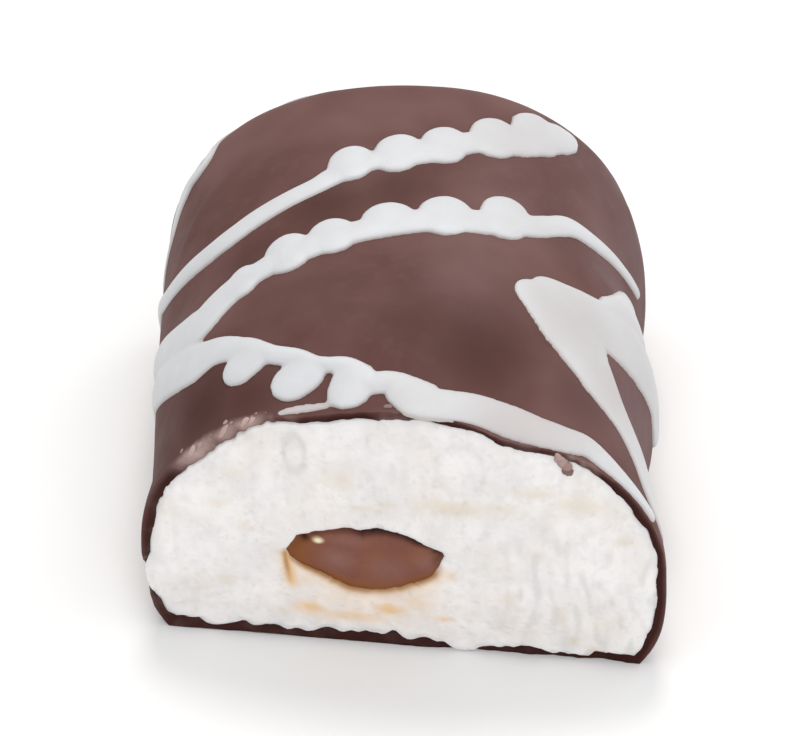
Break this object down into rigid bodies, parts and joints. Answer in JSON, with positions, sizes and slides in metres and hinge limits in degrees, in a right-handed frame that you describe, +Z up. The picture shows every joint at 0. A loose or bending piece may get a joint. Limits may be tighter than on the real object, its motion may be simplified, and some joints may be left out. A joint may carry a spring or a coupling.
{
  "type": "chocolate covered marshmallow",
  "caption": "Half of a loaf-shaped marshmallow bar, cut across: cocoa filling, white marshmallow, thin milk chocolate coating and white icing drizzled over it.",
  "frame": {"origin": "middle of the bounding box, at the height of the flat base", "axes": "+Y along the bar from the cut to the closed end, +X to the right of the cut face seen from the front, +Z up"},
  "size_m": [0.031, 0.0381, 0.0194],
  "materials": {
    "chocolate": "satin milk chocolate",
    "marshmallow": "matte, porous",
    "filling": "soft, slightly glossy cocoa cream",
    "icing": "satin white icing"
  },
  "bodies": {
    "root": {"chocolate_coating": "chocolate", "marshmallow": "marshmallow", "cocoa_filling": "filling"}
  },
  "joints": []
}
